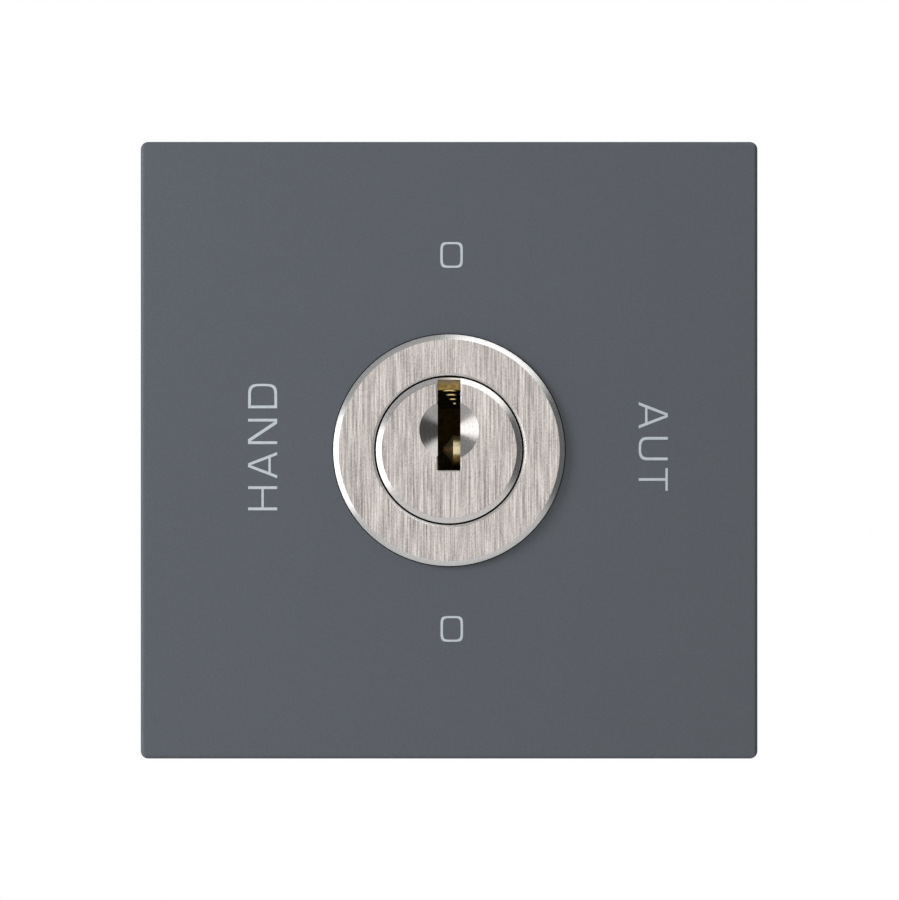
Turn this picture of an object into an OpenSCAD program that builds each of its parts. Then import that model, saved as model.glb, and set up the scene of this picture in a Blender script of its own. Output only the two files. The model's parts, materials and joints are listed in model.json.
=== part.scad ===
// Selector key switch for flush mounting: a square front plate, a round lock cylinder behind it,
// and a four-position rotary switch block that the lock's plug turns.
// Frame: +X to the right, +Y into the wall, +Z up. The origin is the centre of the carrier
// frame's back face, which lies on the wall. Lengths are in millimetres.

/* [Front plate] */
// Side of the square front plate
plate_side = 60; // [59.6:0.1:62]
// Distance from the wall to the front plate's face
plate_proud = 10.5; // [10.3:0.1:11]
// Thickness of the front plate's face
plate_face_t = 2; // [1.6:0.1:2.2]
// Thickness of the skirt around the front plate
skirt_t = 1.6; // [1.2:0.1:1.7]
// Radius of the front plate's four corners
corner_r = 0.8; // [0.7:0.1:2]
// Radius of the rounded edge around the face
edge_r = 0.4; // [0.2:0.05:0.4]

/* [Lock cylinder] */
// Diameter of the ring that shows around the plug
ring_d = 22.5; // [22.2:0.1:22.8]
// How far the ring stands out of the front plate
ring_proud = 1; // [0.6:0.1:1.4]
// Diameter of the plug's head
head_d = 14.2; // [14:0.1:14.6]
// Diameter of the plug behind its head
plug_d = 12.5; // [12.3:0.1:12.6]
// Width of the key slot
slot_w = 2.2; // [1.8:0.1:2.4]
// Depth of the key slot below the plug's axis
slot_below = 1.96; // [1.8:0.02:2.4]
// Height of the key slot above the plug's axis, behind its stepped entry
slot_above = 4.25; // [4:0.05:4.6]
// Diameter of the conical dimple that guides the key into the slot
dimple_d = 5.8; // [5:0.1:6.2]
// Diameter of the core pins and driver pins
pin_d = 2.96; // [2.6:0.02:3]
// Distance from one pin to the next
pin_pitch = 4; // [3.6:0.1:4.2]

/* [Carrier frame] */
// Side of the square steel carrier frame
carrier_side = 55; // [54:0.5:55]
// Thickness of the carrier frame
carrier_t = 1.5; // [1.2:0.1:1.6]
// Distance between the fixing holes, across and up
fixing_pitch = 46; // [45:0.5:47]
// Diameter of the fixing holes
fixing_d = 3.4; // [3.2:0.1:3.6]

/* [Switch block] */
// Side of the square switch block
block_side = 40; // [39:0.5:42]
// Width across the flats of the detent cam
cam_flats = 12.4; // [12:0.1:12.6]
// Diameter of the wire entry in each terminal
wire_d = 3; // [2.6:0.1:3.2]

/* [Hidden] */
$fn = 96;

// Front to back, along Y
plate_front = -plate_proud;
plate_inside = plate_front + plate_face_t;
plate_back = -0.6;
ring_front = plate_front - ring_proud;
ring_back = ring_front + 1.7;
head_back = ring_front + 2;
housing_back = 16;
plug_back = 17.5;
driver_disc_back = 19.05;
block_front = 19;
cam_front = 21.4;
cam_back = 26.4;
rotor_disc_front = 26.6;
block_split = 28;
rotor_disc_back = 29.6;
contact_face = 32.2;
contact_t = 0.8;
terminal_front = contact_face + contact_t;
terminal_back = 40.1;
base_back = 40.3;
block_back = 42.3;

// Front plate
hole_r = ring_d / 2 + 0.1;
boss_r = 13;
boss_back = -5.4;
edge_arcs = 5;
rib_t = 1.2;
rib_reach = (plate_side / 2 - skirt_t) * sqrt(2) - 0.4;
rib_deep = 2;
tongue_in = 25;
tongue_t = 1.2;
tongue_w = 8;

// Carrier frame, its clips and the lock holder
barrel_r = 16;
barrel_play = 0.2;
flange_r = 20.5;
flange_t = 2;
flange_screw_r = 18.25;
holder_front = -5;
nose_r = 13.5;
clip_t = 0.4;
clip_w = 6;
lip_t = 0.8;
lip_deep = 2;
grub_y = 6;
grub_r = 1.65;
grub_out = 15.6;
grub_bite = 0.6;
long_screw_at = 9.6;
long_screw_r = 1.2;

// Lock cylinder
running = 0.05;
ring_chamfer = 0.5;
head_chamfer = 0.55;
head_chamfer_deep = 0.28;
mouth_chamfer = 0.22;
head_gap = 0.18;
housing_r = 10.3;
sleeve_in = 10.34;
sleeve_out = 11;
dimple_up = 1.95;
dimple_deep = 1.6;
slot_bevel = 0.12;
rim_web = 0.25;
slot_back = 15;
groove_front = 16.1;
groove_back = 16.9;
groove_r = 5.7;
pin_count = 5;
first_pin_y = -7.4;
pin_r = pin_d / 2;
pin_hole_r = pin_r + 0.04;
core_tips = [-0.6, -0.2, -0.4, 0, -0.3];
core_end_r = plug_d / 2 - running;
tip_cone = 1;
tip_flat_r = 0.2;
driver_in = 6.36;
driver_long = 2.2;
driver_bore_r = 1;
driver_floor = 0.9;
key_steps = 4;
entry_deep = 1;
entry_top = 5.93;
step_deep = 0.8;
step_arc_r = 5;
driver_screw_x = 4;

// Switch block
block_chamfer = 6;
end_bevel = 0.5;
bearing_r = 6.5;
cam_corner_r = 7.6;
leaf_t = 0.4;
leaf_long = 22;
leaf_w = 4;
rotor_disc_r = 10.5;
pivot_r = 2.4;
pivot_back = 38.4;
wiper_z = 6.5;
common_track = [3.3, 5.8];
output_track = [7, 9.8];
output_half_angle = 28;
tab_half_w = 1.8;
terminal_in = 12.2;
terminal_out = 18.6;
terminal_half_w = 3.5;
wire_y = 35.6;
terminal_screw_r = 1.45;
play = 0.05;

function pin_y(i) = first_pin_y + i * pin_pitch;

// A flat outline in X and Z, given thickness from one Y to another.
module slab(front, back) {
    translate([0, back, 0]) rotate([90, 0, 0]) linear_extrude(back - front) children();
}

// A ring or disc about the Y axis, from a list of [radius, y] corners.
module turned(profile) {
    rotate([-90, 0, 0]) rotate_extrude() polygon(profile);
}

module rod_y(r, front, back, x = 0, z = 0) {
    translate([x, front, z]) rotate([-90, 0, 0]) cylinder(r = r, h = back - front);
}

module rod_x(r, left, right, y = 0) {
    translate([left, y, 0]) rotate([0, 90, 0]) cylinder(r = r, h = right - left);
}

module block(x, y, z) {
    translate([x[0], y[0], z[0]]) cube([x[1] - x[0], y[1] - y[0], z[1] - z[0]]);
}

module four_ways() {
    for (turn = [0 : 90 : 270]) rotate([0, turn, 0]) children();
}

module rounded_square(side, r) {
    square([side, side - 2 * r], center = true);
    square([side - 2 * r, side], center = true);
    for (x = [-1, 1], z = [-1, 1]) translate([x, z] * (side / 2 - r)) circle(r);
}

module chamfered_square(side, cut) {
    a = side / 2;
    b = a - cut;
    polygon([[a, b], [b, a], [-b, a], [-a, b], [-a, -b], [-b, -a], [b, -a], [a, -b]]);
}

// A helical spring on the local Z axis, with its wire swept round the helix.
module coil_spring(r, wire_r, length, turns, sides = 6, steps = 12) {
    rings = turns * steps;
    rise = length - 2 * wire_r;
    points = [for (i = [0 : rings], k = [0 : sides - 1])
        let (a = 360 * i / steps, b = 360 * k / sides, out = r + wire_r * cos(b))
        [out * cos(a), out * sin(a), wire_r + rise * i / rings + wire_r * sin(b)]];
    skin = [for (i = [0 : rings - 1], k = [0 : sides - 1])
        let (n = (k + 1) % sides)
        [i * sides + k, (i + 1) * sides + k, (i + 1) * sides + n, i * sides + n]];
    start = [for (k = [0 : sides - 1]) k];
    end = [for (k = [sides - 1 : -1 : 0]) rings * sides + k];
    polyhedron(points, concat([start], skin, [end]));
}

// A cheese-head screw that points to -Y, with a cross recess; its head starts at y.
module screw(y, head_r, head_t, shank_r, shank_long, x = 0, z = 0) {
    translate([x, y, z]) difference() {
        union() {
            turned([[0, 0], [head_r, 0], [head_r, head_t - 0.3], [head_r - 0.3, head_t], [0, head_t]]);
            turned([[0, -shank_long], [shank_r - 0.3, -shank_long], [shank_r, -shank_long + 0.4],
                [shank_r, 0], [0, 0]]);
        }
        cross_recess(head_r, head_t);
    }
}

module cross_recess(head_r, head_t) {
    for (turn = [0, 90]) rotate([0, turn, 0])
        block([-head_r * 0.72, head_r * 0.72], [head_t * 0.45, head_t + 1], [-0.3, 0.3]);
}

// ---- Front plate ----

// Half of the plate's outline seen from the side: [distance from the axis, y] corners,
// with the front edge rounded.
function side_outline() = concat(
    [[0, plate_back], [plate_side / 2, plate_back]],
    [for (a = [0 : 90 / edge_arcs : 90])
        [plate_side / 2 - edge_r * (1 - cos(a)), plate_front + edge_r * (1 - sin(a))]],
    [[0, plate_front]]);

module side_band() {
    polygon(side_outline());
    mirror([1, 0]) polygon(side_outline());
}

// The outside of the plate: rounded corners, and a rounded front edge on all four sides.
module plate_outside() {
    intersection() {
        slab(plate_front - 1, plate_back) rounded_square(plate_side, corner_r);
        linear_extrude(plate_side + 2, center = true) side_band();
        rotate([0, 90, 0]) linear_extrude(plate_side + 2, center = true) side_band();
    }
}

module front_plate() {
    color([0.35, 0.375, 0.405]) difference() {
        union() {
            difference() {
                plate_outside();
                slab(plate_inside, plate_back + 1) rounded_square(plate_side - 2 * skirt_t, 0.6);
            }
            rod_y(boss_r, plate_inside - 0.1, boss_back);
            for (turn = [45, 135]) rotate([0, turn, 0])
                block([-1, 1] * rib_reach, [plate_inside - 0.1, plate_inside + rib_deep], [-1, 1] * rib_t / 2);
            four_ways()
                block([tongue_in, tongue_in + tongue_t], [plate_inside - 0.1, plate_back],
                    [-1, 1] * tongue_w / 2);
        }
        rod_y(hole_r, plate_front - 1, boss_back + 1);
    }
}

// ---- Carrier frame, clips and lock holder ----

module carrier_frame() {
    slot_half = tongue_w / 2 + 0.4;
    color([0.72, 0.73, 0.72]) {
        difference() {
            slab(-carrier_t, 0) rounded_square(carrier_side, 3);
            rod_y(barrel_r + barrel_play, -carrier_t - 1, 1);
            four_ways() {
                rod_y(fixing_d / 2, -carrier_t - 1, 1, fixing_pitch / 2, fixing_pitch / 2);
                block([tongue_in - 0.3, tongue_in + tongue_t + 0.3], [-carrier_t - 1, 1],
                    [-slot_half, slot_half]);
                rotate([0, 45, 0]) rod_y(1.25, -carrier_t - 1, 1, flange_screw_r);
            }
        }
        // Bent-up edges that stiffen the frame
        four_ways() block([carrier_side / 2 - lip_t, carrier_side / 2],
            [-carrier_t - lip_deep, -carrier_t / 2], [-1, 1] * (carrier_side / 2 - 7.5));
    }
}

// Four leaf clips on the frame, which grip the front plate's tongues.
module plate_clips() {
    near = tongue_in - play;
    color([0.78, 0.66, 0.45]) four_ways() {
        block([near - clip_t, near], [-6.5, -carrier_t], [-1, 1] * clip_w / 2);
        block([near - 3.4, near], [-carrier_t - clip_t, -carrier_t], [-1, 1] * clip_w / 2);
    }
}

module lock_holder() {
    flange_front = -carrier_t - flange_t;
    bore_r = sleeve_out + 0.08;
    rear_hole_r = 7.7;
    rear_wall = housing_back + 0.3;
    color([0.6, 0.61, 0.62]) difference() {
        turned([[bore_r, holder_front], [nose_r - 0.5, holder_front], [nose_r, holder_front + 0.5],
            [nose_r, flange_front], [flange_r - 0.3, flange_front], [flange_r, flange_front + 0.3],
            [flange_r, -carrier_t], [barrel_r, -carrier_t], [barrel_r, block_front - 0.6],
            [barrel_r - 0.6, block_front], [rear_hole_r, block_front], [rear_hole_r, rear_wall],
            [bore_r, rear_wall]]);
        four_ways() rotate([0, 45, 0]) rod_y(1.35, flange_front - 1, 0, flange_screw_r);
        long_screw_holes(long_screw_r + play, 10.5, block_front + 1);
        translate([0, grub_y, 0]) rotate([180, 0, 0]) cylinder(r = grub_r + play, h = barrel_r + 1);
        // Two flats for a wrench
        for (side = [-1, 1]) block([-3, 3] + [side, side] * (barrel_r + 2.4), [2, 12], [-20, 20]);
    }
}

module holder_screws() {
    color([0.75, 0.75, 0.74]) four_ways() rotate([0, 45, 0]) translate([flange_screw_r, 0, 0])
        rotate([180, 0, 0]) screw(carrier_t + flange_t, 2.15, 1.3, 1.2, 3.2);
}

// ---- Lock cylinder ----

module cylinder_housing() {
    mouth_r = head_d / 2 + head_gap;
    bore_r = plug_d / 2 + running;
    color([0.76, 0.73, 0.7]) difference() {
        turned([[mouth_r + mouth_chamfer, ring_front], [ring_d / 2 - ring_chamfer, ring_front],
            [ring_d / 2, ring_front + ring_chamfer], [ring_d / 2, ring_back], [housing_r, ring_back],
            [housing_r, housing_back], [bore_r, housing_back], [bore_r, head_back + 0.1],
            [mouth_r, head_back + 0.1], [mouth_r, ring_front + mouth_chamfer]]);
        for (i = [0 : pin_count - 1]) rod_x(pin_hole_r, bore_r - 1, housing_r + 1, pin_y(i));
        translate([0, grub_y, -housing_r + grub_bite + play])
            rotate([180, 0, 0]) cylinder(r = grub_r + play, h = 2);
    }
}

module cylinder_sleeve() {
    color([0.74, 0.73, 0.71]) difference() {
        turned([[sleeve_in, ring_back + play], [sleeve_out, ring_back + play],
            [sleeve_out, housing_back], [sleeve_in, housing_back]]);
        translate([0, grub_y, 0]) rotate([180, 0, 0]) cylinder(r = grub_r + 0.15, h = barrel_r);
    }
}

// A socket set screw, up through the holder and sleeve into the dimple in the housing.
module cylinder_grub_screw() {
    color([0.3, 0.3, 0.31]) translate([0, grub_y, 0]) rotate([90, 0, 0]) difference() {
        turned([[0, -grub_out], [grub_r - 0.3, -grub_out], [grub_r, -grub_out + 0.3],
            [grub_r, -housing_r], [grub_r - 0.5, -housing_r + grub_bite], [0, -housing_r + grub_bite]]);
        rod_y(0.9, -grub_out - 1, -grub_out + 1.8, $fn = 6);
    }
}

// The key slot: nearly up to the rim at the face, then stepped down to its full-length height.
module key_slot() {
    across = [-1, 1] * slot_w / 2;
    entry_back = ring_front + entry_deep;
    drop = (entry_top - slot_above) / key_steps;
    block(across, [ring_front - 1, entry_back], [-slot_below, head_d / 2 - rim_web]);
    for (i = [0 : key_steps])
        round_topped_slot(across, entry_back + (i == 0 ? -0.5 : (i - 0.5) * step_deep),
            i == key_steps ? slot_back : entry_back + (i + 1) * step_deep, entry_top - i * drop);
}

module round_topped_slot(across, front, back, top) {
    intersection() {
        block(across, [front, back], [-slot_below, top]);
        rod_y(step_arc_r, front, back, 0, top - step_arc_r);
    }
    block(across, [front, back], [-slot_below, top - 1]);
}

// The bevel round the slot's mouth, cut by square bars set on their corners.
module slot_bevels() {
    bar = slot_bevel * sqrt(2);
    for (side = [-1, 1]) translate([side * slot_w / 2, ring_front, 0]) rotate([0, 0, 45])
        block([-bar / 2, bar / 2], [-bar / 2, bar / 2], [-slot_below, head_d / 2 - rim_web]);
    translate([0, ring_front, -slot_below]) rotate([45, 0, 0])
        block([-slot_w / 2, slot_w / 2], [-bar / 2, bar / 2], [-bar / 2, bar / 2]);
}

module cylinder_plug() {
    head_r = head_d / 2;
    r = plug_d / 2;
    color([0.76, 0.73, 0.7]) difference() {
        turned([[0, ring_front], [head_r - head_chamfer, ring_front],
            [head_r, ring_front + head_chamfer_deep], [head_r, head_back], [r, head_back],
            [r, groove_front], [groove_r, groove_front], [groove_r, groove_back], [r, groove_back],
            [r, plug_back], [0, plug_back]]);
        key_slot();
        slot_bevels();
        translate([0, ring_front, dimple_up])
            turned([[0, -1], [dimple_d / 2, -1], [dimple_d / 2, 0], [0, dimple_deep]]);
        for (i = [0 : pin_count - 1]) rod_x(pin_hole_r, slot_w / 2 - 0.3, r + 1, pin_y(i));
        for (side = [-1, 1]) rod_y(0.8, plug_back - 3.5, plug_back + 1, side * driver_screw_x);
    }
}

module plug_circlip() {
    color([0.45, 0.45, 0.46]) difference() {
        turned([[groove_r + 0.04, groove_front + play], [7.3, groove_front + play],
            [7.3, groove_back - play], [groove_r + 0.04, groove_back - play]]);
        block([-3, 3], [groove_front - 1, groove_back + 1], [-9, 0]);
    }
}

// A core pin: a cone that reaches into the key slot, and a ball end on the shear line.
module core_pin(i) {
    tip = core_tips[i];
    color([0.78, 0.62, 0.33]) translate([0, pin_y(i), 0]) intersection() {
        rotate([0, 90, 0]) rotate_extrude()
            polygon([[0, tip], [tip_flat_r, tip], [pin_r, tip + tip_cone], [pin_r, 8], [0, 8]]);
        sphere(core_end_r);
    }
}

// A driver pin: a short cup whose bore holds the end of its spring.
module driver_pin(i) {
    out = driver_in + driver_long;
    floor_x = driver_in + driver_floor;
    color([0.7, 0.71, 0.72]) translate([0, pin_y(i), 0]) rotate([0, 90, 0]) rotate_extrude()
        polygon([[0, driver_in], [pin_r - 0.2, driver_in], [pin_r, driver_in + 0.2], [pin_r, out],
            [driver_bore_r, out], [driver_bore_r, floor_x], [0, floor_x]]);
}

module pin_spring(i) {
    from = driver_in + driver_floor + 0.02;
    color([0.6, 0.6, 0.6]) translate([from, pin_y(i), 0]) rotate([0, 90, 0])
        coil_spring(0.72, 0.13, sleeve_in - 0.06 - from, 5);
}

module plug_driver() {
    color([0.62, 0.63, 0.64]) difference() {
        union() {
            rod_y(6, plug_back + play, driver_disc_back);
            block([-1.5, 1.5], [driver_disc_back - 0.1, 22.6], [-5, 5]);
        }
        for (side = [-1, 1]) translate([side * driver_screw_x, 0, 0]) {
            rod_y(1, plug_back - 1, driver_disc_back + 1);
            turned([[0, driver_disc_back - 0.9], [0.9, driver_disc_back - 0.9],
                [1.8, driver_disc_back], [1.8, driver_disc_back + 1], [0, driver_disc_back + 1]]);
        }
    }
}

module driver_screws() {
    top = driver_disc_back - play;
    color([0.75, 0.75, 0.74]) for (side = [-1, 1]) translate([side * driver_screw_x, 0, 0])
        difference() {
            turned([[0, plug_back - 3.2], [0.5, plug_back - 3.2], [0.76, plug_back - 2.9],
                [0.76, top - 0.9], [1.62, top], [0, top]]);
            block([-1.2, 1.2], [top - 0.4, top + 1], [-0.2, 0.2]);
        }
}

// ---- Switch block ----

module long_screw_holes(r, front, back) {
    for (side = [-1, 1]) rod_y(r, front, back, side * long_screw_at, side * long_screw_at);
}

module block_slab(front, back) {
    slab(front, back) chamfered_square(block_side, block_chamfer);
}

// Cuts the eight edges of the block's front or back: bars set on their corners.
module end_bevels(end) {
    bar = end_bevel * sqrt(2);
    for (turn = [0 : 45 : 315]) rotate([0, turn, 0])
        translate([turn % 90 == 0 ? block_side / 2 : (block_side - block_chamfer) / sqrt(2), end, 0])
            rotate([0, 0, 45]) cube([bar, bar, block_side], center = true);
}

module switch_cover() {
    wall_back = cam_front - 0.2;
    color([0.86, 0.86, 0.84]) difference() {
        block_slab(block_front, block_split);
        end_bevels(block_front);
        rod_y(bearing_r + 0.1, block_front - 1, wall_back + 1);
        rod_y(cam_corner_r + 0.7, wall_back, rotor_disc_front);
        rod_y(rotor_disc_r + 0.3, rotor_disc_front - 0.1, block_split + 1);
        for (side = [0, 180]) rotate([0, side, 0]) {
            block([-9.9, 9.9], [21.6, rotor_disc_front], [cam_flats / 2, cam_corner_r + 0.5]);
            block([-1, 1] * (leaf_long / 2 + 0.3), [21.6, rotor_disc_front],
                [cam_flats / 2, cam_flats / 2 + 0.5]);
        }
        long_screw_holes(1.4, block_front - 1, block_split + 1);
        four_ways() for (x = [-9, -3, 3, 9])
            block([x - 0.6, x + 0.6], [block_front + 2, block_split + 1],
                [block_side / 2 - 0.6, block_side / 2 + 1]);
    }
}

module detent_spring(side) {
    low = cam_flats / 2 + 0.02;
    color([0.7, 0.72, 0.75]) rotate([0, side, 0])
        block([-1, 1] * leaf_long / 2, [21.9, 21.9 + leaf_w], [low, low + leaf_t]);
}

module switch_rotor() {
    color([0.82, 0.3, 0.2]) difference() {
        union() {
            rod_y(bearing_r, block_front + 0.3, cam_front + 0.1);
            slab(cam_front, cam_back) intersection() {
                square(cam_flats, center = true);
                circle(cam_corner_r);
            }
            rod_y(7, cam_back - 0.1, rotor_disc_front + 0.1);
            rod_y(rotor_disc_r, rotor_disc_front + 0.02, rotor_disc_back);
            rod_y(pivot_r, rotor_disc_back - 0.1, pivot_back);
            // Two ribs that guide the wiper
            for (side = [-1, 1])
                block([-0.4, 0.4] + [side, side] * 1.8, [rotor_disc_back - 0.1, 31.2], [3.4, 9.6]);
        }
        block([-1.6, 1.6], [block_front, 23.6], [-5.2, 5.2]);
        rod_y(1.6, 27.4, rotor_disc_back + 1, 0, wiper_z);
    }
}

module contact_wiper() {
    color([0.8, 0.78, 0.72]) {
        block([-1.25, 1.25], [30, 31], [3.5, 9.5]);
        for (z = [4.6, 8.4]) translate([0, 0, z])
            turned([[0, 30.9], [1, 30.9], [1, 31.7], [0.5, contact_face - play],
                [0, contact_face - play]]);
    }
}

module wiper_spring() {
    color([0.65, 0.65, 0.66]) translate([0, 27.45, wiper_z]) rotate([-90, 0, 0])
        coil_spring(1.15, 0.16, 2.5, 4);
}

// The sheet outline of each fixed contact, in X and Z; grow widens it for its seat.
module common_outline(grow = 0) {
    difference() {
        union() {
            circle(common_track[1] + grow);
            translate([-tab_half_w - grow, -terminal_out - grow])
                square([2 * (tab_half_w + grow), terminal_out - common_track[0]]);
        }
        circle(common_track[0] - grow);
    }
}

module output_outline(side, grow = 0) {
    far = 2 * output_track[1];
    rise = far * tan(output_half_angle);
    mirror([side < 0 ? 1 : 0, 0]) {
        intersection() {
            difference() {
                circle(output_track[1] + grow);
                circle(output_track[0] - grow);
            }
            polygon([[0, 0], [far, -rise - 2 * grow], [far, rise + 2 * grow]]);
        }
        translate([output_track[1] - 0.8, -tab_half_w - grow])
            square([terminal_out - output_track[1] + 0.8 + grow, 2 * (tab_half_w + grow)]);
    }
}

module contact_sheet() {
    color([0.83, 0.62, 0.4]) slab(contact_face, contact_face + contact_t) children();
}

module common_contact() {
    contact_sheet() common_outline();
}

module hand_contact() {
    contact_sheet() output_outline(-1);
}

module aut_contact() {
    contact_sheet() output_outline(1);
}

// Places its children, drawn at +X, at the three terminals: right, bottom and left.
module at_terminals() {
    for (turn = [0, 90, 180]) rotate([0, turn, 0]) children();
}

module switch_base() {
    seat = terminal_half_w + 0.1;
    color([0.2, 0.2, 0.21]) difference() {
        block_slab(block_split, base_back);
        rod_y(rotor_disc_r + 0.3, block_split - 1, contact_face);
        slab(contact_face - 0.1, contact_face + contact_t + play) {
            common_outline(0.1);
            output_outline(-1, 0.1);
            output_outline(1, 0.1);
        }
        rod_y(pivot_r + play, contact_face - 1, pivot_back + 0.3);
        at_terminals() {
            block([terminal_in - 0.1, terminal_out + 0.1],
                [contact_face + contact_t - 0.01, base_back + 1], [-seat, seat]);
            rod_x(wire_d / 2 + 0.6, terminal_out - 1, block_side, wire_y);
        }
        long_screw_holes(1.4, block_split - 1, base_back + 1);
    }
}

module terminal_block(turn) {
    color([0.8, 0.66, 0.36]) rotate([0, turn, 0]) difference() {
        block([terminal_in, terminal_out], [terminal_front, terminal_back],
            [-terminal_half_w, terminal_half_w]);
        rod_x(wire_d / 2, terminal_in - 1, terminal_out + 1, wire_y);
        rod_y(terminal_screw_r + play, wire_y, terminal_back + 1, (terminal_in + terminal_out) / 2);
    }
}

module terminal_screws() {
    long = terminal_back - wire_y - wire_d / 2 - 0.1;
    color([0.78, 0.78, 0.76]) at_terminals()
        screw(terminal_back + 0.1, 2.6, 1.8, terminal_screw_r, long, (terminal_in + terminal_out) / 2);
}

module switch_rear_cover() {
    color([0.2, 0.2, 0.21]) difference() {
        block_slab(base_back, block_back);
        end_bevels(block_back);
        at_terminals() rod_y(2.8, base_back - 1, block_back + 1, (terminal_in + terminal_out) / 2);
        long_screw_holes(1.4, base_back - 1, block_back + 1);
        long_screw_holes(2.5, base_back + 0.6, block_back + 1);
        // A shallow round recess in the middle
        rod_y(6, block_back - 0.5, block_back + 1);
    }
}

module switch_screws() {
    head_y = base_back + 0.6;
    color([0.75, 0.75, 0.74]) for (side = [-1, 1])
        screw(head_y, 2.3, 1.3, long_screw_r, head_y - 11, side * long_screw_at, side * long_screw_at);
}

front_plate();
carrier_frame();
plate_clips();
lock_holder();
holder_screws();
cylinder_housing();
cylinder_sleeve();
cylinder_grub_screw();
cylinder_plug();
plug_circlip();
for (i = [0 : pin_count - 1]) {
    core_pin(i);
    driver_pin(i);
    pin_spring(i);
}
plug_driver();
driver_screws();
switch_cover();
switch_rotor();
detent_spring(0);  // detent_spring_upper
detent_spring(180);  // detent_spring_lower
contact_wiper();
wiper_spring();
switch_base();
common_contact();
hand_contact();
aut_contact();
terminal_block(90);  // terminal_common
terminal_block(180);  // terminal_hand
terminal_block(0);  // terminal_aut
terminal_screws();
switch_rear_cover();
switch_screws();
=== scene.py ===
import json
from math import cos, pi, radians, sin

import bmesh
import bpy
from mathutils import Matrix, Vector


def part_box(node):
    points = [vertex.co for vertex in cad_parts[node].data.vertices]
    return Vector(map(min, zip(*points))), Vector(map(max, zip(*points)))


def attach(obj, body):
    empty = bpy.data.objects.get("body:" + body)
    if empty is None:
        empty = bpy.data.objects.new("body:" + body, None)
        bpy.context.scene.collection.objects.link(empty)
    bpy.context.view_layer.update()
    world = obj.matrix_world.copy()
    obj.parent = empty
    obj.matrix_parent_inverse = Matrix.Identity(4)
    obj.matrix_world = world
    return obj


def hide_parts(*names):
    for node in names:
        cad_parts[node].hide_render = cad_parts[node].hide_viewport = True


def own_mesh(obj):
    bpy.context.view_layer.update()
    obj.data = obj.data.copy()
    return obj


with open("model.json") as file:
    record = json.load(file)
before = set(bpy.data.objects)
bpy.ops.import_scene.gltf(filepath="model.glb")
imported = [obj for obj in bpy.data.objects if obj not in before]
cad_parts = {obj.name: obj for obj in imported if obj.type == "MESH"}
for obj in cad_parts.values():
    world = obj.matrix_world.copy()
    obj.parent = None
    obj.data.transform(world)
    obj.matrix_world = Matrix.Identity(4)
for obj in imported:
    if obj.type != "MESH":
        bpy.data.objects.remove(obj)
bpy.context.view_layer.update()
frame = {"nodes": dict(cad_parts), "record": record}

MM = 0.001
scene = bpy.context.scene
scene.view_settings.view_transform = "Standard"


# ---------------------------------------------------------------- places taken from the frame

plate_low, plate_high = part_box("front_plate")
ring_low, ring_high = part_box("cylinder_housing")
plug_low, plug_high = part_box("cylinder_plug")
PLATE_FACE = plate_low.y
PLATE_SIDE = plate_high.x - plate_low.x
RING_FACE = ring_low.y
HEAD_R = plug_high.x
SLOT_HALF = 1.1 * MM
SLOT_BELOW = 1.96 * MM
STEP_LOW = 4.25 * MM
STEP_RISE = 0.42 * MM
DIMPLE_R = 2.9 * MM
DIMPLE_UP = 1.95 * MM


# ---------------------------------------------------------------- camera, floor and lights

def aim(thing, target):
    """Turns a camera or light, which looks along its own -Z, towards a point."""
    thing.rotation_euler = (Vector(target) - thing.location).to_track_quat("-Z", "Y").to_euler()


VIEW_PER_PLATE = 1.4568
CAMERA_DISTANCE = 600 * MM
CAMERA_ASIDE = 0.04 * MM
CAMERA_UP = 0.022 * MM
FLOOR_R = 0.7
FLOOR_DROP = 75 * MM


def make_camera():
    data = bpy.data.cameras.new("camera")
    data.sensor_fit = "HORIZONTAL"
    data.sensor_width = 36
    data.lens = data.sensor_width * CAMERA_DISTANCE / (VIEW_PER_PLATE * PLATE_SIDE)
    data.clip_start = 0.01
    camera = bpy.data.objects.new("camera", data)
    scene.collection.objects.link(camera)
    camera.location = (CAMERA_ASIDE, PLATE_FACE - CAMERA_DISTANCE, CAMERA_UP)
    camera.rotation_euler = (radians(90), 0, 0)
    scene.camera = camera


def make_area_light(name, place, size, watts, in_gloss=True):
    data = bpy.data.lights.new(name, "AREA")
    data.shape = "SQUARE"
    data.size = size
    data.energy = watts
    light = bpy.data.objects.new(name, data)
    scene.collection.objects.link(light)
    light.location = place
    aim(light, (0, 0, 0))
    light.visible_camera = False
    light.visible_glossy = in_gloss


# The soft studio all round, in degrees. A pole is (half angle, softness, strength) about the view's
# own axis, and a band is (middle, half width, softness, strength), where the middle is turned
# anticlockwise from +X as seen from the front.
FRONT_POLE = (34, 14, 0.85)
REAR_POLE = (45, 20, 0.6)
BANDS = (
    (186, 19, 12, 2.5),
    (61, 21, 14, 1.55),
    (268, 62, 10, 0.66),
    (125, 48, 12, 0.33),
)
# The bands fade out near the view's axis, ahead and behind, at (half angle, softness).
BANDS_FRONT = (42, 8)
BANDS_REAR = (78, 12)
ROOM_LEVEL = 0.13


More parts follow.
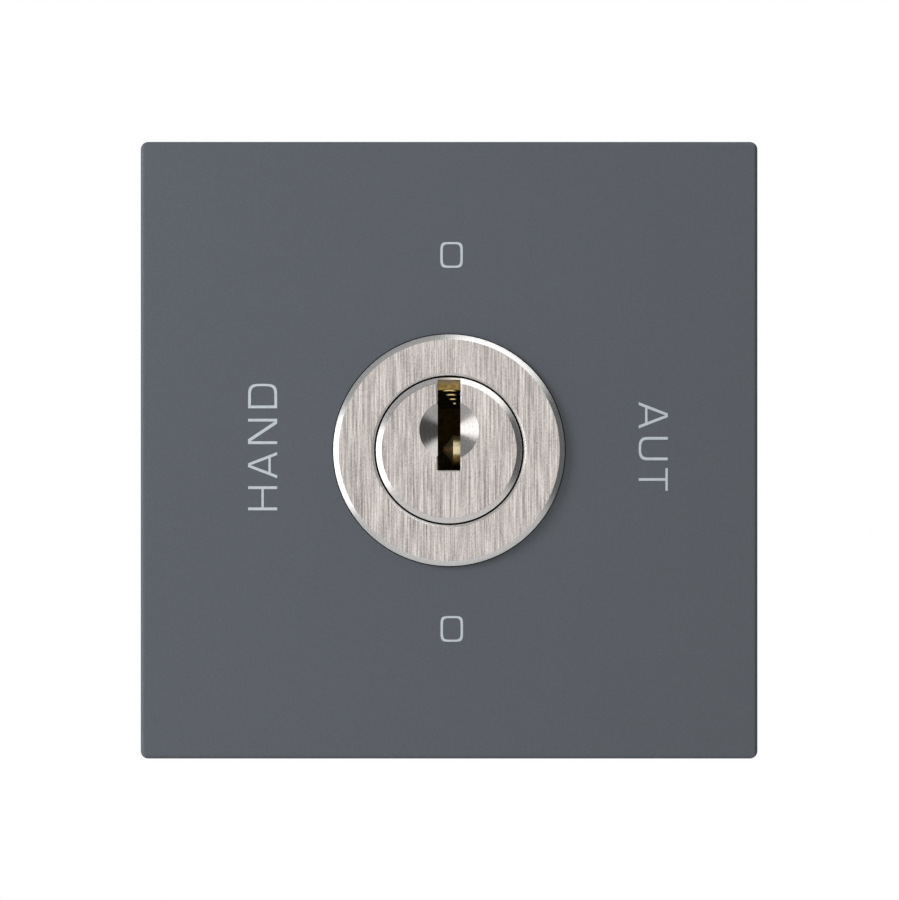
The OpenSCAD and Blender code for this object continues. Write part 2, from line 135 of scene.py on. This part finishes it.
def make_world():
    """White where the camera sees it, and a soft studio all round for light and gloss."""
    world = bpy.data.worlds.new("studio")
    scene.world = world
    world.use_nodes = True
    nodes, links = world.node_tree.nodes, world.node_tree.links
    nodes.clear()

    def vector(operation, a, b=None):
        node = nodes.new("ShaderNodeVectorMath")
        node.operation = operation
        links.new(a, node.inputs[0])
        if b:
            node.inputs[1].default_value = b
        return node.outputs["Value" if operation == "DOT_PRODUCT" else "Vector"]

    def math(operation, a, b=None):
        node = nodes.new("ShaderNodeMath")
        node.operation = operation
        for socket, value in zip(node.inputs, (a, b)):
            if isinstance(value, float):
                socket.default_value = value
            elif value:
                links.new(value, socket)
        return node.outputs[0]

    def lobe(cosine, outer, inner, strength):
        node = nodes.new("ShaderNodeMapRange")
        node.interpolation_type = "SMOOTHSTEP"
        node.inputs["From Min"].default_value = cos(radians(outer))
        node.inputs["From Max"].default_value = cos(radians(inner))
        node.inputs["To Max"].default_value = strength
        links.new(cosine, node.inputs["Value"])
        return node.outputs["Result"]

    way = nodes.new("ShaderNodeTexCoord").outputs["Generated"]
    around = vector("NORMALIZE", vector("MULTIPLY", way, (1, 0, 1)))
    bands = None
    for middle, half, soft, strength in BANDS:
        heading = (cos(radians(middle)), 0, sin(radians(middle)))
        band = lobe(vector("DOT_PRODUCT", around, heading), half + soft, half - soft, strength)
        bands = math("ADD", bands, band) if bands else band
    front = vector("DOT_PRODUCT", way, (0, -1, 0))
    rear = vector("DOT_PRODUCT", way, (0, 1, 0))
    for pole, (half, soft) in ((front, BANDS_FRONT), (rear, BANDS_REAR)):
        bands = math("MULTIPLY", bands, math("SUBTRACT", 1.0, lobe(pole, half + soft, half - soft, 1)))
    level = math("ADD", bands, ROOM_LEVEL)
    for pole, (half, soft, strength) in ((front, FRONT_POLE), (rear, REAR_POLE)):
        level = math("ADD", level, lobe(pole, half + soft, half - soft, strength))

    room = nodes.new("ShaderNodeBackground")
    links.new(level, room.inputs["Strength"])
    seen = nodes.new("ShaderNodeBackground")
    for background in (room, seen):
        background.inputs["Color"].default_value = (1, 1, 1, 1)
    path = nodes.new("ShaderNodeLightPath")
    mix = nodes.new("ShaderNodeMixShader")
    links.new(path.outputs["Is Camera Ray"], mix.inputs["Fac"])
    links.new(room.outputs[0], mix.inputs[1])
    links.new(seen.outputs[0], mix.inputs[2])
    out = nodes.new("ShaderNodeOutputWorld")
    links.new(mix.outputs[0], out.inputs["Surface"])


def make_floor():
    bm = bmesh.new()
    bmesh.ops.create_circle(bm, cap_ends=True, segments=96, radius=FLOOR_R)
    mesh = bpy.data.meshes.new("floor")
    bm.to_mesh(mesh)
    bm.free()
    floor = bpy.data.objects.new("floor", mesh)
    scene.collection.objects.link(floor)
    floor.location = (0, 0, plate_low.z - FLOOR_DROP)
    paint = Paint("floor")
    paint.base((0.82, 0.82, 0.82), roughness=0.7)
    mesh.materials.append(paint.material)
    floor.visible_glossy = False


# ---------------------------------------------------------------- materials

class Paint:
    """A node material that is built up step by step. All its textures use the row's own coordinates."""

    def __init__(self, name):
        self.material = bpy.data.materials.new(name)
        self.material.use_nodes = True
        self.nodes = self.material.node_tree.nodes
        self.links = self.material.node_tree.links
        self.shader = self.nodes["Principled BSDF"]
        self.place = self.nodes.new("ShaderNodeTexCoord").outputs["Object"]
        self.normal = None

    def new(self, kind, **settings):
        node = self.nodes.new(kind)
        for key, value in settings.items():
            setattr(node, key, value)
        return node

    def base(self, color, roughness=0.5, metallic=0.0):
        self.shader.inputs["Base Color"].default_value = (*color, 1)
        self.shader.inputs["Roughness"].default_value = roughness
        self.shader.inputs["Metallic"].default_value = metallic

    def noise(self, scale, stretch=(1, 1, 1), detail=2.0):
        """Noise whose grain is scale millimetres, stretched that many times along X, Y and Z."""
        mapping = self.new("ShaderNodeMapping")
        mapping.inputs["Scale"].default_value = [1 / (scale * MM * s) for s in stretch]
        self.links.new(self.place, mapping.inputs["Vector"])
        noise = self.new("ShaderNodeTexNoise")
        noise.inputs["Scale"].default_value = 1
        noise.inputs["Detail"].default_value = detail
        self.links.new(mapping.outputs[0], noise.inputs["Vector"])
        return noise.outputs["Fac"]

    def ramp(self, value, low, high, start=0.3, end=0.7):
        """Maps a value from start..end to low..high, with its ends held."""
        node = self.new("ShaderNodeMapRange")
        for key, number in (("From Min", start), ("From Max", end), ("To Min", low), ("To Max", high)):
            node.inputs[key].default_value = number
        self.links.new(value, node.inputs["Value"])
        return node.outputs["Result"]

    def math(self, operation, a, b=0.0):
        node = self.new("ShaderNodeMath", operation=operation)
        for socket, value in zip(node.inputs, (a, b)):
            if isinstance(value, (int, float)):
                socket.default_value = value
            else:
                self.links.new(value, socket)
        return node.outputs[0]

    def mix(self, factor, a, b):
        """A colour between a and b, each an RGB tuple or a socket."""
        node = self.new("ShaderNodeMix", data_type="RGBA")
        if isinstance(factor, (int, float)):
            node.inputs[0].default_value = factor
        else:
            self.links.new(factor, node.inputs[0])
        for socket, value in ((node.inputs[6], a), (node.inputs[7], b)):
            if isinstance(value, tuple):
                socket.default_value = (*value, 1)
            else:
                self.links.new(value, socket)
        return node.outputs[2]

    def blend(self, factor, a, b):
        """A number between a and b, each a number or a socket."""
        node = self.new("ShaderNodeMix", data_type="FLOAT")
        for socket, value in ((node.inputs[0], factor), (node.inputs[2], a), (node.inputs[3], b)):
            if isinstance(value, (int, float)):
                socket.default_value = value
            else:
                self.links.new(value, socket)
        return node.outputs[0]

    def layers(self, first, *others):
        """Finishes laid over each other. The first is (colour, roughness, metallic); the others start
        with the mask that they cover."""
        color, roughness, metallic = first
        for mask, *over in others:
            color = self.mix(mask, color, over[0])
            roughness = self.blend(mask, roughness, over[1])
            metallic = self.blend(mask, metallic, over[2])
        self.color(color)
        self.roughness(roughness)
        self.metallic(metallic)

    def color(self, socket):
        self.links.new(socket, self.shader.inputs["Base Color"])

    def roughness(self, socket):
        self.links.new(socket, self.shader.inputs["Roughness"])

    def metallic(self, socket):
        self.links.new(socket, self.shader.inputs["Metallic"])

    def bump(self, height, depth, strength=1.0):
        """Raises the surface by height times depth millimetres; calls add up."""
        node = self.new("ShaderNodeBump")
        if isinstance(strength, (int, float)):
            node.inputs["Strength"].default_value = strength
        else:
            self.links.new(strength, node.inputs["Strength"])
        node.inputs["Distance"].default_value = depth * MM
        self.links.new(height, node.inputs["Height"])
        if self.normal:
            self.links.new(self.normal, node.inputs["Normal"])
        self.normal = node.outputs[0]
        self.links.new(self.normal, self.shader.inputs["Normal"])

    def axes(self):
        node = self.new("ShaderNodeSeparateXYZ")
        self.links.new(self.place, node.inputs[0])
        return node.outputs

    def radius(self, up=0.0):
        """Distance from the lock's own axis, or from a line above it that is parallel to it."""
        x, _, z = self.axes()
        z = self.math("SUBTRACT", z, up)
        squares = self.math("ADD", self.math("MULTIPLY", x, x), self.math("MULTIPLY", z, z))
        return self.math("SQRT", squares)

    def rings(self, radius, pitch):
        """Turning marks: noise that changes only with the radius."""
        noise = self.new("ShaderNodeTexNoise", noise_dimensions="1D")
        noise.inputs["Scale"].default_value = 1
        noise.inputs["Detail"].default_value = 2
        self.links.new(self.math("DIVIDE", radius, pitch * MM), noise.inputs["W"])
        return noise.outputs["Fac"]

    def faces_front(self):
        """1 on surfaces that lie square to the lock's axis."""
        node = self.new("ShaderNodeSeparateXYZ")
        self.links.new(self.new("ShaderNodeNewGeometry").outputs["True Normal"], node.inputs[0])
        return self.math("GREATER_THAN", self.math("ABSOLUTE", node.outputs["Y"]), 0.9)


def shade(color, factor):
    return tuple(min(1.0, c * factor) for c in color)


def moulded(name, color, roughness=0.5, grain=0.25, depth=0.004):
    """Injection-moulded plastic: an eroded fine grain, and faint clouding in colour and gloss."""
    paint = Paint(name)
    paint.base(color, roughness)
    clouds = paint.noise(9, detail=3)
    paint.color(paint.mix(paint.ramp(clouds, 0, 1), shade(color, 0.94), shade(color, 1.06)))
    paint.roughness(paint.ramp(clouds, roughness - 0.04, roughness + 0.05))
    paint.bump(paint.noise(grain, detail=3), depth)
    return paint


def metal(name, color, roughness=0.3, stretch=(1, 1, 1), grain=0.2, depth=0.002, spread=0.1):
    """Bare or plated metal with its working marks drawn out along one axis."""
    paint = Paint(name)
    paint.base(color, roughness, 1.0)
    marks = paint.noise(grain, stretch, detail=3)
    stains = paint.noise(4, detail=4)
    paint.color(paint.mix(paint.ramp(stains, 0, 1), shade(color, 0.9), shade(color, 1.07)))
    paint.roughness(paint.ramp(marks, roughness - spread, roughness + spread))
    paint.bump(marks, depth)
    return paint


def pin_brass():
    """Turned pins with a thin film of oil and dust, so they also scatter light."""
    paint = metal("pin_brass", (0.95, 0.83, 0.54), 0.3, (0.3, 1, 1), 0.12)
    paint.shader.inputs["Metallic"].default_value = 0.88
    return paint.material


def anthracite_plastic():
    """The front plate: satin, with a fine eroded grain and hardly any clouding."""
    color = (0.0508, 0.0584, 0.069)
    paint = Paint("anthracite_plastic")
    paint.base(color)
    fleck = paint.noise(0.17, detail=3)
    paint.color(paint.mix(paint.ramp(fleck, 0, 1), shade(color, 0.9), shade(color, 1.1)))
    paint.roughness(paint.ramp(paint.noise(12, detail=3), 0.46, 0.52))
    paint.bump(paint.noise(0.14, detail=3), 0.005)
    return paint.material


def brushed_nickel(name, bright, turned_about, bare_brass, painted_shade, hollow_shade=None, step_glints=None):
    """Nickel plate: straight vertical brush lines on its flat face, bright turned bevels, and bare brass
    where it was cut after plating, greyer at its top as painted shade. Over these go near-black painted
    shade in the slot and gaps and, where given, darker painted shade in a hollow and painted glints on
    the slot's steps. The last five are functions that take the paint."""
    nickel = (0.66, 0.607, 0.577)
    paint = Paint(name)
    paint.base(nickel, 0.3, 1.0)
    _, y, z = paint.axes()
    on_face = paint.math("LESS_THAN", y, RING_FACE + 0.012 * MM)
    fine = paint.noise(0.1, (1, 1, 90), detail=2)
    short = paint.noise(0.13, (1, 1, 22), detail=2)
    specks = paint.noise(0.09, (1, 1, 2.2), detail=1)
    lines = paint.math("ADD", paint.math("MULTIPLY", fine, 0.45), paint.math("MULTIPLY", short, 0.35))
    lines = paint.math("ADD", lines, paint.math("MULTIPLY", specks, 0.2))
    streaks = paint.mix(paint.ramp(lines, 0, 1, 0.37, 0.63), shade(nickel, 0.42), shade(nickel, 1.47))
    marks = paint.rings(turned_about(paint), 0.09)
    grain = paint.noise(0.1, detail=1)
    worked = paint.math("ADD", paint.math("MULTIPLY", marks, 0.3), paint.math("MULTIPLY", grain, 0.7))
    worked = paint.ramp(worked, 0, 1, 0.36, 0.64)
    turned = paint.mix(worked, shade(bright, 0.82), shade(bright, 1.16))
    # Painted shade: the turned metal is darker inside the given hollow, the plug's dimple.
    if hollow_shade:
        turned = paint.mix(hollow_shade(paint), turned, paint.mix(worked, shade(bright, 0.47), shade(bright, 0.7)))
    patches = paint.ramp(paint.noise(0.45, detail=3), 0, 1, 0.35, 0.65)
    brass = paint.mix(patches, (0.2, 0.125, 0.035), (0.36, 0.25, 0.09))
    # Painted shade: the bare brass turns a dull grey-brown above 6.25 mm height, fully so at 6.75 mm.
    bare = paint.mix(paint.ramp(z, 0, 1, 6.25 * MM, 6.75 * MM), brass, (0.24, 0.18, 0.11))
    finishes = [
        (on_face, streaks, paint.ramp(lines, 0.34, 0.46), 1.0),
        (bare_brass(paint), bare, 0.35, 1.0),
        # Painted shade: nearly black in the key slot and in the gap round the plug's head.
        (painted_shade(paint), (0.012, 0.01, 0.006), 0.7, 1.0),
    ]
    # Painted glints: bright brass arcs on the key slot's entry steps.
    if step_glints:
        finishes.append((step_glints(paint), (1.0, 0.8, 0.36), 0.2, 1.0))
    paint.layers((turned, paint.blend(worked, 0.14, 0.26), 1.0), *finishes)
    paint.bump(lines, 0.008, paint.math("MULTIPLY", on_face, 0.3))
    return paint.material


def between(paint, value, low, high):
    above = paint.math("GREATER_THAN", value, low)
    return paint.math("MULTIPLY", above, paint.math("LESS_THAN", value, high))


def in_slot(paint, depth):
    """The walls of the key slot from a depth behind the face, in millimetres."""
    x, y, z = paint.axes()
    narrow = paint.math("LESS_THAN", paint.math("ABSOLUTE", x), SLOT_HALF + 0.01 * MM)
    low = paint.math("GREATER_THAN", z, -SLOT_BELOW - 0.01 * MM)
    deep = paint.math("GREATER_THAN", y, RING_FACE + depth * MM)
    return paint.math("MULTIPLY", paint.math("MULTIPLY", narrow, low), deep)


def in_dimple(paint):
    return paint.math("LESS_THAN", paint.radius(DIMPLE_UP), DIMPLE_R + 0.05 * MM)


def plug_turned_about(paint):
    """The dimple was turned about its own axis, and the rim about the lock's."""
    return paint.blend(in_dimple(paint), paint.radius(), paint.radius(DIMPLE_UP))


def plug_brass(paint):
    """The walls of the key slot, which are cut after plating, and all that is behind the head."""
    _, y, _ = paint.axes()
    behind = paint.math("GREATER_THAN", y, RING_FACE + 2.05 * MM)
    return paint.math("MAXIMUM", in_slot(paint, 0.25), behind)


def plug_painted_shade(paint):
    """Painted shade, nearly black: on the faces in the key slot behind its first step, and on the head's
    side. It is weaker on the slot's far end, so that face is painted less dark."""
    _, y, _ = paint.axes()
    slot = paint.math("MULTIPLY", in_slot(paint, 1.2), paint.faces_front())
    slot = paint.math("MULTIPLY", slot, paint.ramp(y, 1, 0.45, RING_FACE + 7 * MM, RING_FACE + 8 * MM))
    rim = between(paint, paint.radius(), HEAD_R - 0.02 * MM, HEAD_R + 0.4 * MM)
    rim = paint.math("MULTIPLY", rim, paint.math("GREATER_THAN", y, RING_FACE + 0.45 * MM))
    return paint.math("MAXIMUM", slot, rim)


def painted_step_glints(paint):
    """Painted glints: bright arcs high on the slot's entry steps. They get shorter as they go in."""
    x, _, z = paint.axes()
    level = paint.math("DIVIDE", paint.math("SUBTRACT", z, STEP_LOW), STEP_RISE)
    middle = paint.math("SUBTRACT", 0.66 * MM, paint.math("MULTIPLY", level, 0.17 * MM))
    reach = paint.math("ADD", paint.math("MULTIPLY", level, 0.17 * MM), 0.02 * MM)
    across = paint.math("SUBTRACT", x, middle)
    sag = paint.math("MULTIPLY", paint.math("MULTIPLY", across, across), 0.14 / MM / STEP_RISE)
    high = paint.math("FRACT", paint.math("ADD", level, sag))
    line = paint.math("ABSOLUTE", paint.math("SUBTRACT", high, 0.76))
    ends = paint.math("DIVIDE", paint.math("ABSOLUTE", across), reach)
    fade = paint.math("MULTIPLY", paint.ramp(line, 1, 0, 0.07, 0.22), paint.ramp(ends, 1, 0, 0.5, 1.15))
    arcs = paint.math("MULTIPLY", fade, paint.ramp(paint.noise(0.1, detail=2), 0.8, 1.0))
    return paint.math("MULTIPLY", arcs, paint.math("MULTIPLY", in_slot(paint, 1.2),
                      between(paint, z, STEP_LOW, STEP_LOW + 4 * STEP_RISE)))


def housing_turned_about(paint):
    return paint.radius()


def housing_brass(paint):
    """The seat of the plug's head, and the bore behind it."""
    _, y, _ = paint.axes()
    deep = paint.math("GREATER_THAN", y, RING_FACE + 0.9 * MM)
    return paint.math("MULTIPLY", deep, paint.math("LESS_THAN", paint.radius(), HEAD_R + 0.3 * MM))


def housing_painted_shade(paint):
    """Painted shade, nearly black, in the narrow gap round the plug's head."""
    _, y, _ = paint.axes()
    ring = between(paint, paint.radius(), HEAD_R - 0.08 * MM, HEAD_R + 0.3 * MM)
    return paint.math("MULTIPLY", ring, paint.math("GREATER_THAN", y, RING_FACE + 0.4 * MM))


def rolled(name, color, stretch):
    """Thin rolled strip, with faint fine marks drawn out along one axis."""
    return metal(name, color, 0.27, stretch, grain=0.08, depth=0.0005, spread=0.04).material


def make_materials():
    brass = (0.66, 0.47, 0.18)
    return {
        "anthracite_plastic": anthracite_plastic(),
        "zinc_sheet": metal("zinc_sheet", (0.6, 0.61, 0.6), 0.36, (6, 1, 1), 0.3).material,
        "spring_bronze": rolled("spring_bronze", (0.7, 0.48, 0.26), (1, 5, 1)),
        "die_cast_zinc": metal("die_cast_zinc", (0.45, 0.455, 0.465), 0.48, grain=0.35,
                               depth=0.012).material,
        "screw_steel": metal("screw_steel", (0.68, 0.68, 0.66), 0.28, grain=0.15).material,
        "sleeve_steel": metal("sleeve_steel", (0.62, 0.62, 0.61), 0.3, (1, 0.3, 1)).material,
        "black_steel": metal("black_steel", (0.05, 0.05, 0.055), 0.35).material,
        "pin_brass": pin_brass(),
        "pin_nickel_silver": metal("pin_nickel_silver", (0.64, 0.62, 0.55), 0.25, (0.3, 1, 1)).material,
        "spring_steel": metal("spring_steel", (0.55, 0.55, 0.56), 0.25).material,
        "ivory_plastic": moulded("ivory_plastic", (0.56, 0.54, 0.475), 0.42).material,
        "red_plastic": moulded("red_plastic", (0.55, 0.06, 0.03), 0.4).material,
        "silver_contact": metal("silver_contact", (0.8, 0.79, 0.74), 0.2).material,
        "black_plastic": moulded("black_plastic", (0.03, 0.031, 0.034), 0.42).material,
        "contact_copper": rolled("contact_copper", (0.74, 0.44, 0.26), (1, 1, 5)),
        "terminal_brass": metal("terminal_brass", brass, 0.32, (5, 1, 1)).material,
    }


def dress_cad_nodes(materials):
    slots = {row["node"]: row["material_slot"] for row in frame["record"]["subparts"]}
    own = {
        "cylinder_plug": brushed_nickel("brushed_nickel_plug", (0.69, 0.665, 0.65), plug_turned_about,
                                        plug_brass, plug_painted_shade, in_dimple, painted_step_glints),
        "cylinder_housing": brushed_nickel("brushed_nickel_ring", (0.9, 0.87, 0.85),
                                           housing_turned_about, housing_brass, housing_painted_shade),
    }
    for name, thing in frame["nodes"].items():
        material = own.get(name) or materials[slots[name]]
        thing.data.materials.clear()
        thing.data.materials.append(material)
        for face in thing.data.polygons:
            face.material_index = 0


# ---------------------------------------------------------------- printed position marks

CAP_HEIGHT = 2.82
STEM = 0.27
BAR = 0.225
PRINT_T = 0.02


def bow(middle, half_size, start, end, power, steps):
    """Part of a superellipse between two angles: a curve between an oval and a rectangle."""
    def reach(value):
        return abs(value) ** (2 / power) * (1 if value > 0 else -1)

    angles = [radians(start + (end - start) * i / steps) for i in range(steps + 1)]
    return [(middle[0] + half_size[0] * reach(cos(a)), middle[1] + half_size[1] * reach(sin(a)))
            for a in angles]


def letter_zero(w, h):
    a, b = w / 2, h / 2
    return [bow((0, b), size, 0, 360, 5, 64) for size in ((a, b), (a - STEM * 0.88, b - BAR * 0.9))]


def letter_h(w, h):
    a, s, m, mid = w / 2, STEM, BAR / 2, h / 2
    return [[(-a, 0), (-a + s, 0), (-a + s, mid - m), (a - s, mid - m), (a - s, 0), (a, 0), (a, h),
             (a - s, h), (a - s, mid + m), (-a + s, mid + m), (-a + s, h), (-a, h)]]


def letter_a(w, h):
    a, bar, lean, top = w / 2, h * 0.22, STEM * 1.06, STEM * 0.66

    def outer_x(y):
        return a + (top - a) * y / h

    crown = h - STEM * 0.85
    hole_low = bar + BAR
    outline = [(-a, 0), (-a + lean, 0), (-outer_x(bar) + lean, bar), (outer_x(bar) - lean, bar),
               (a - lean, 0), (a, 0), (top, h), (-top, h)]
    hole = [(-outer_x(hole_low) + lean, hole_low), (outer_x(hole_low) - lean, hole_low), (0, crown)]
    return [outline, hole]


def letter_n(w, h):
    a, s, flat, drop = w / 2, STEM, 0.2, 0.24
    return [[(-a, 0), (-a + s, 0), (-a + s, h - drop), (a - s - flat, 0), (a, 0), (a, h), (a - s, h),
             (a - s, drop), (-a + s + flat, h), (-a, h)]]


def letter_d(w, h):
    a, b, bend = w / 2, h / 2, 1.25
    outside = [(-a, 0)] + bow((a - bend, b), (bend, b), -90, 90, 3.7, 32) + [(-a, h)]
    inside = bow((a - bend, b), (bend - BAR, b - STEM), -90, 90, 3.7, 32)
    return [outside, [(-a + STEM, STEM)] + inside + [(-a + STEM, h - STEM)]]


def letter_u(w, h):
    a, low = w / 2, 0.95
    outside = [(a, h)] + bow((0, low), (a, low), 0, -180, 3, 32) + [(-a, h)]
    inside = [(-a + STEM, h)] + bow((0, low), (a - STEM, low - BAR), 180, 360, 3, 32) + [(a - STEM, h)]
    return [outside + inside]


def letter_t(w, h):
    a, s, m = w / 2, BAR, STEM * 0.46
    return [[(-m, 0), (m, 0), (m, h - s), (a, h - s), (a, h), (-a, h), (-a, h - s), (-m, h - s)]]


def make_mark(name, letters, place, turn, material, height=CAP_HEIGHT):
    """Prints letters, each (outline maker, centre along the line, width), from a baseline point.

    turn is how far the line is turned anticlockwise, as seen from the front."""
    data = bpy.data.curves.new(name, "CURVE")
    data.dimensions = "2D"
    data.fill_mode = "BOTH"
    data.extrude = PRINT_T * MM
    for maker, along, width in letters:
        for loop in maker(width, height):
            spline = data.splines.new("POLY")
            spline.points.add(len(loop) - 1)
            for point, (x, y) in zip(spline.points, loop):
                point.co = ((x + along) * MM, y * MM, 0, 1)
            spline.use_cyclic_u = True
    flat = bpy.data.objects.new(name + "_outline", data)
    scene.collection.objects.link(flat)
    bpy.context.view_layer.update()
    mesh = bpy.data.meshes.new_from_object(flat.evaluated_get(bpy.context.evaluated_depsgraph_get()))
    bpy.data.objects.remove(flat)
    bm = bmesh.new()
    bm.from_mesh(mesh)
    bmesh.ops.remove_doubles(bm, verts=bm.verts, dist=0.0005 * MM)
    bmesh.ops.recalc_face_normals(bm, faces=bm.faces)
    bm.to_mesh(mesh)
    bm.free()
    mesh.materials.clear()
    mesh.materials.append(material)
    mark = bpy.data.objects.new(name, mesh)
    scene.collection.objects.link(mark)
    mark.location = (place[0] * MM, PLATE_FACE, place[1] * MM)
    mark.rotation_euler = (radians(90), radians(-turn), 0)
    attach(mark, "root")


def mark_print():
    paint = Paint("mark_print")
    color = (0.322, 0.35, 0.376)
    paint.base(color, 0.5)
    fleck = paint.noise(0.35, detail=3)
    paint.color(paint.mix(paint.ramp(fleck, 0, 1), shade(color, 0.93), shade(color, 1.07)))
    paint.bump(paint.noise(0.12, detail=2), 0.003)
    return paint.material


def make_marks():
    ink = mark_print()
    for name, place in (("mark_0_top", (0.24, 17.74)), ("mark_0_bottom", (0.26, -18.62))):
        make_mark(name, [(letter_zero, 0, 2.19)], place, 0, ink, 2.5)
    hand = [(letter_h, -4.67, 2.33), (letter_a, -1.45, 2.54), (letter_n, 1.83, 2.46),
            (letter_d, 5.27, 2.38)]
    make_mark("mark_hand", hand, (-16.72, 0), 90, ink)
    aut = [(letter_a, -3.4, 2.55), (letter_u, -0.16, 2.27), (letter_t, 2.84, 2.2)]
    make_mark("mark_aut", aut, (18.44, 0), -90, ink)


# ---------------------------------------------------------------- the pins' springs

SPRING_WIRE_R = 0.13 * MM
SPRING_TURNS = 5
SPRING_STEPS, WIRE_SIDES = 28, 10


def make_coil(name, low, high):
    """A helical spring of round wire along X that fills the box from low to high."""
    middle = (low + high) / 2
    coil_r = (high.y - low.y) / 2 - SPRING_WIRE_R
    count = SPRING_TURNS * SPRING_STEPS
    bm = bmesh.new()
    rings = []
    for i in range(count + 1):
        turn = 2 * pi * i / SPRING_STEPS
        along = low.x + SPRING_WIRE_R + (high.x - low.x - 2 * SPRING_WIRE_R) * i / count
        ring = []
        for k in range(WIRE_SIDES):
            around = 2 * pi * k / WIRE_SIDES
            out = coil_r + SPRING_WIRE_R * cos(around)
            x = along + SPRING_WIRE_R * sin(around)
            ring.append(bm.verts.new((x, middle.y + out * cos(turn), middle.z + out * sin(turn))))
        rings.append(ring)
    for one, other in zip(rings, rings[1:]):
        for k in range(WIRE_SIDES):
            after = (k + 1) % WIRE_SIDES
            bm.faces.new((one[k], one[after], other[after], other[k]))
    for end in (rings[0], rings[-1]):
        bm.faces.new(end)
    bmesh.ops.recalc_face_normals(bm, faces=bm.faces)
    for face in bm.faces:
        face.smooth = len(face.verts) == 4
    mesh = bpy.data.meshes.new(name)
    bm.to_mesh(mesh)
    bm.free()
    coil = bpy.data.objects.new(name, mesh)
    scene.collection.objects.link(coil)
    return coil


def make_springs(material):
    """Round-wire springs in place of the CAD's springs, which are hidden."""
    for i in range(1, 6):
        low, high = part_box(f"pin_spring_{i}")
        coil = make_coil(f"pin_coil_{i}", low, high)
        coil.data.materials.append(material)
        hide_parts(f"pin_spring_{i}")
        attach(coil, "root")
        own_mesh(coil)


# ---------------------------------------------------------------- the scene

make_camera()
make_world()
make_floor()
make_area_light("key", (-0.235, -0.18, 0.1), 0.1, 1.02, in_gloss=False)
make_area_light("rear", (0.3, 0.8, 0.6), 0.6, 2.0)
materials = make_materials()
dress_cad_nodes(materials)
make_marks()
make_springs(materials["spring_steel"])
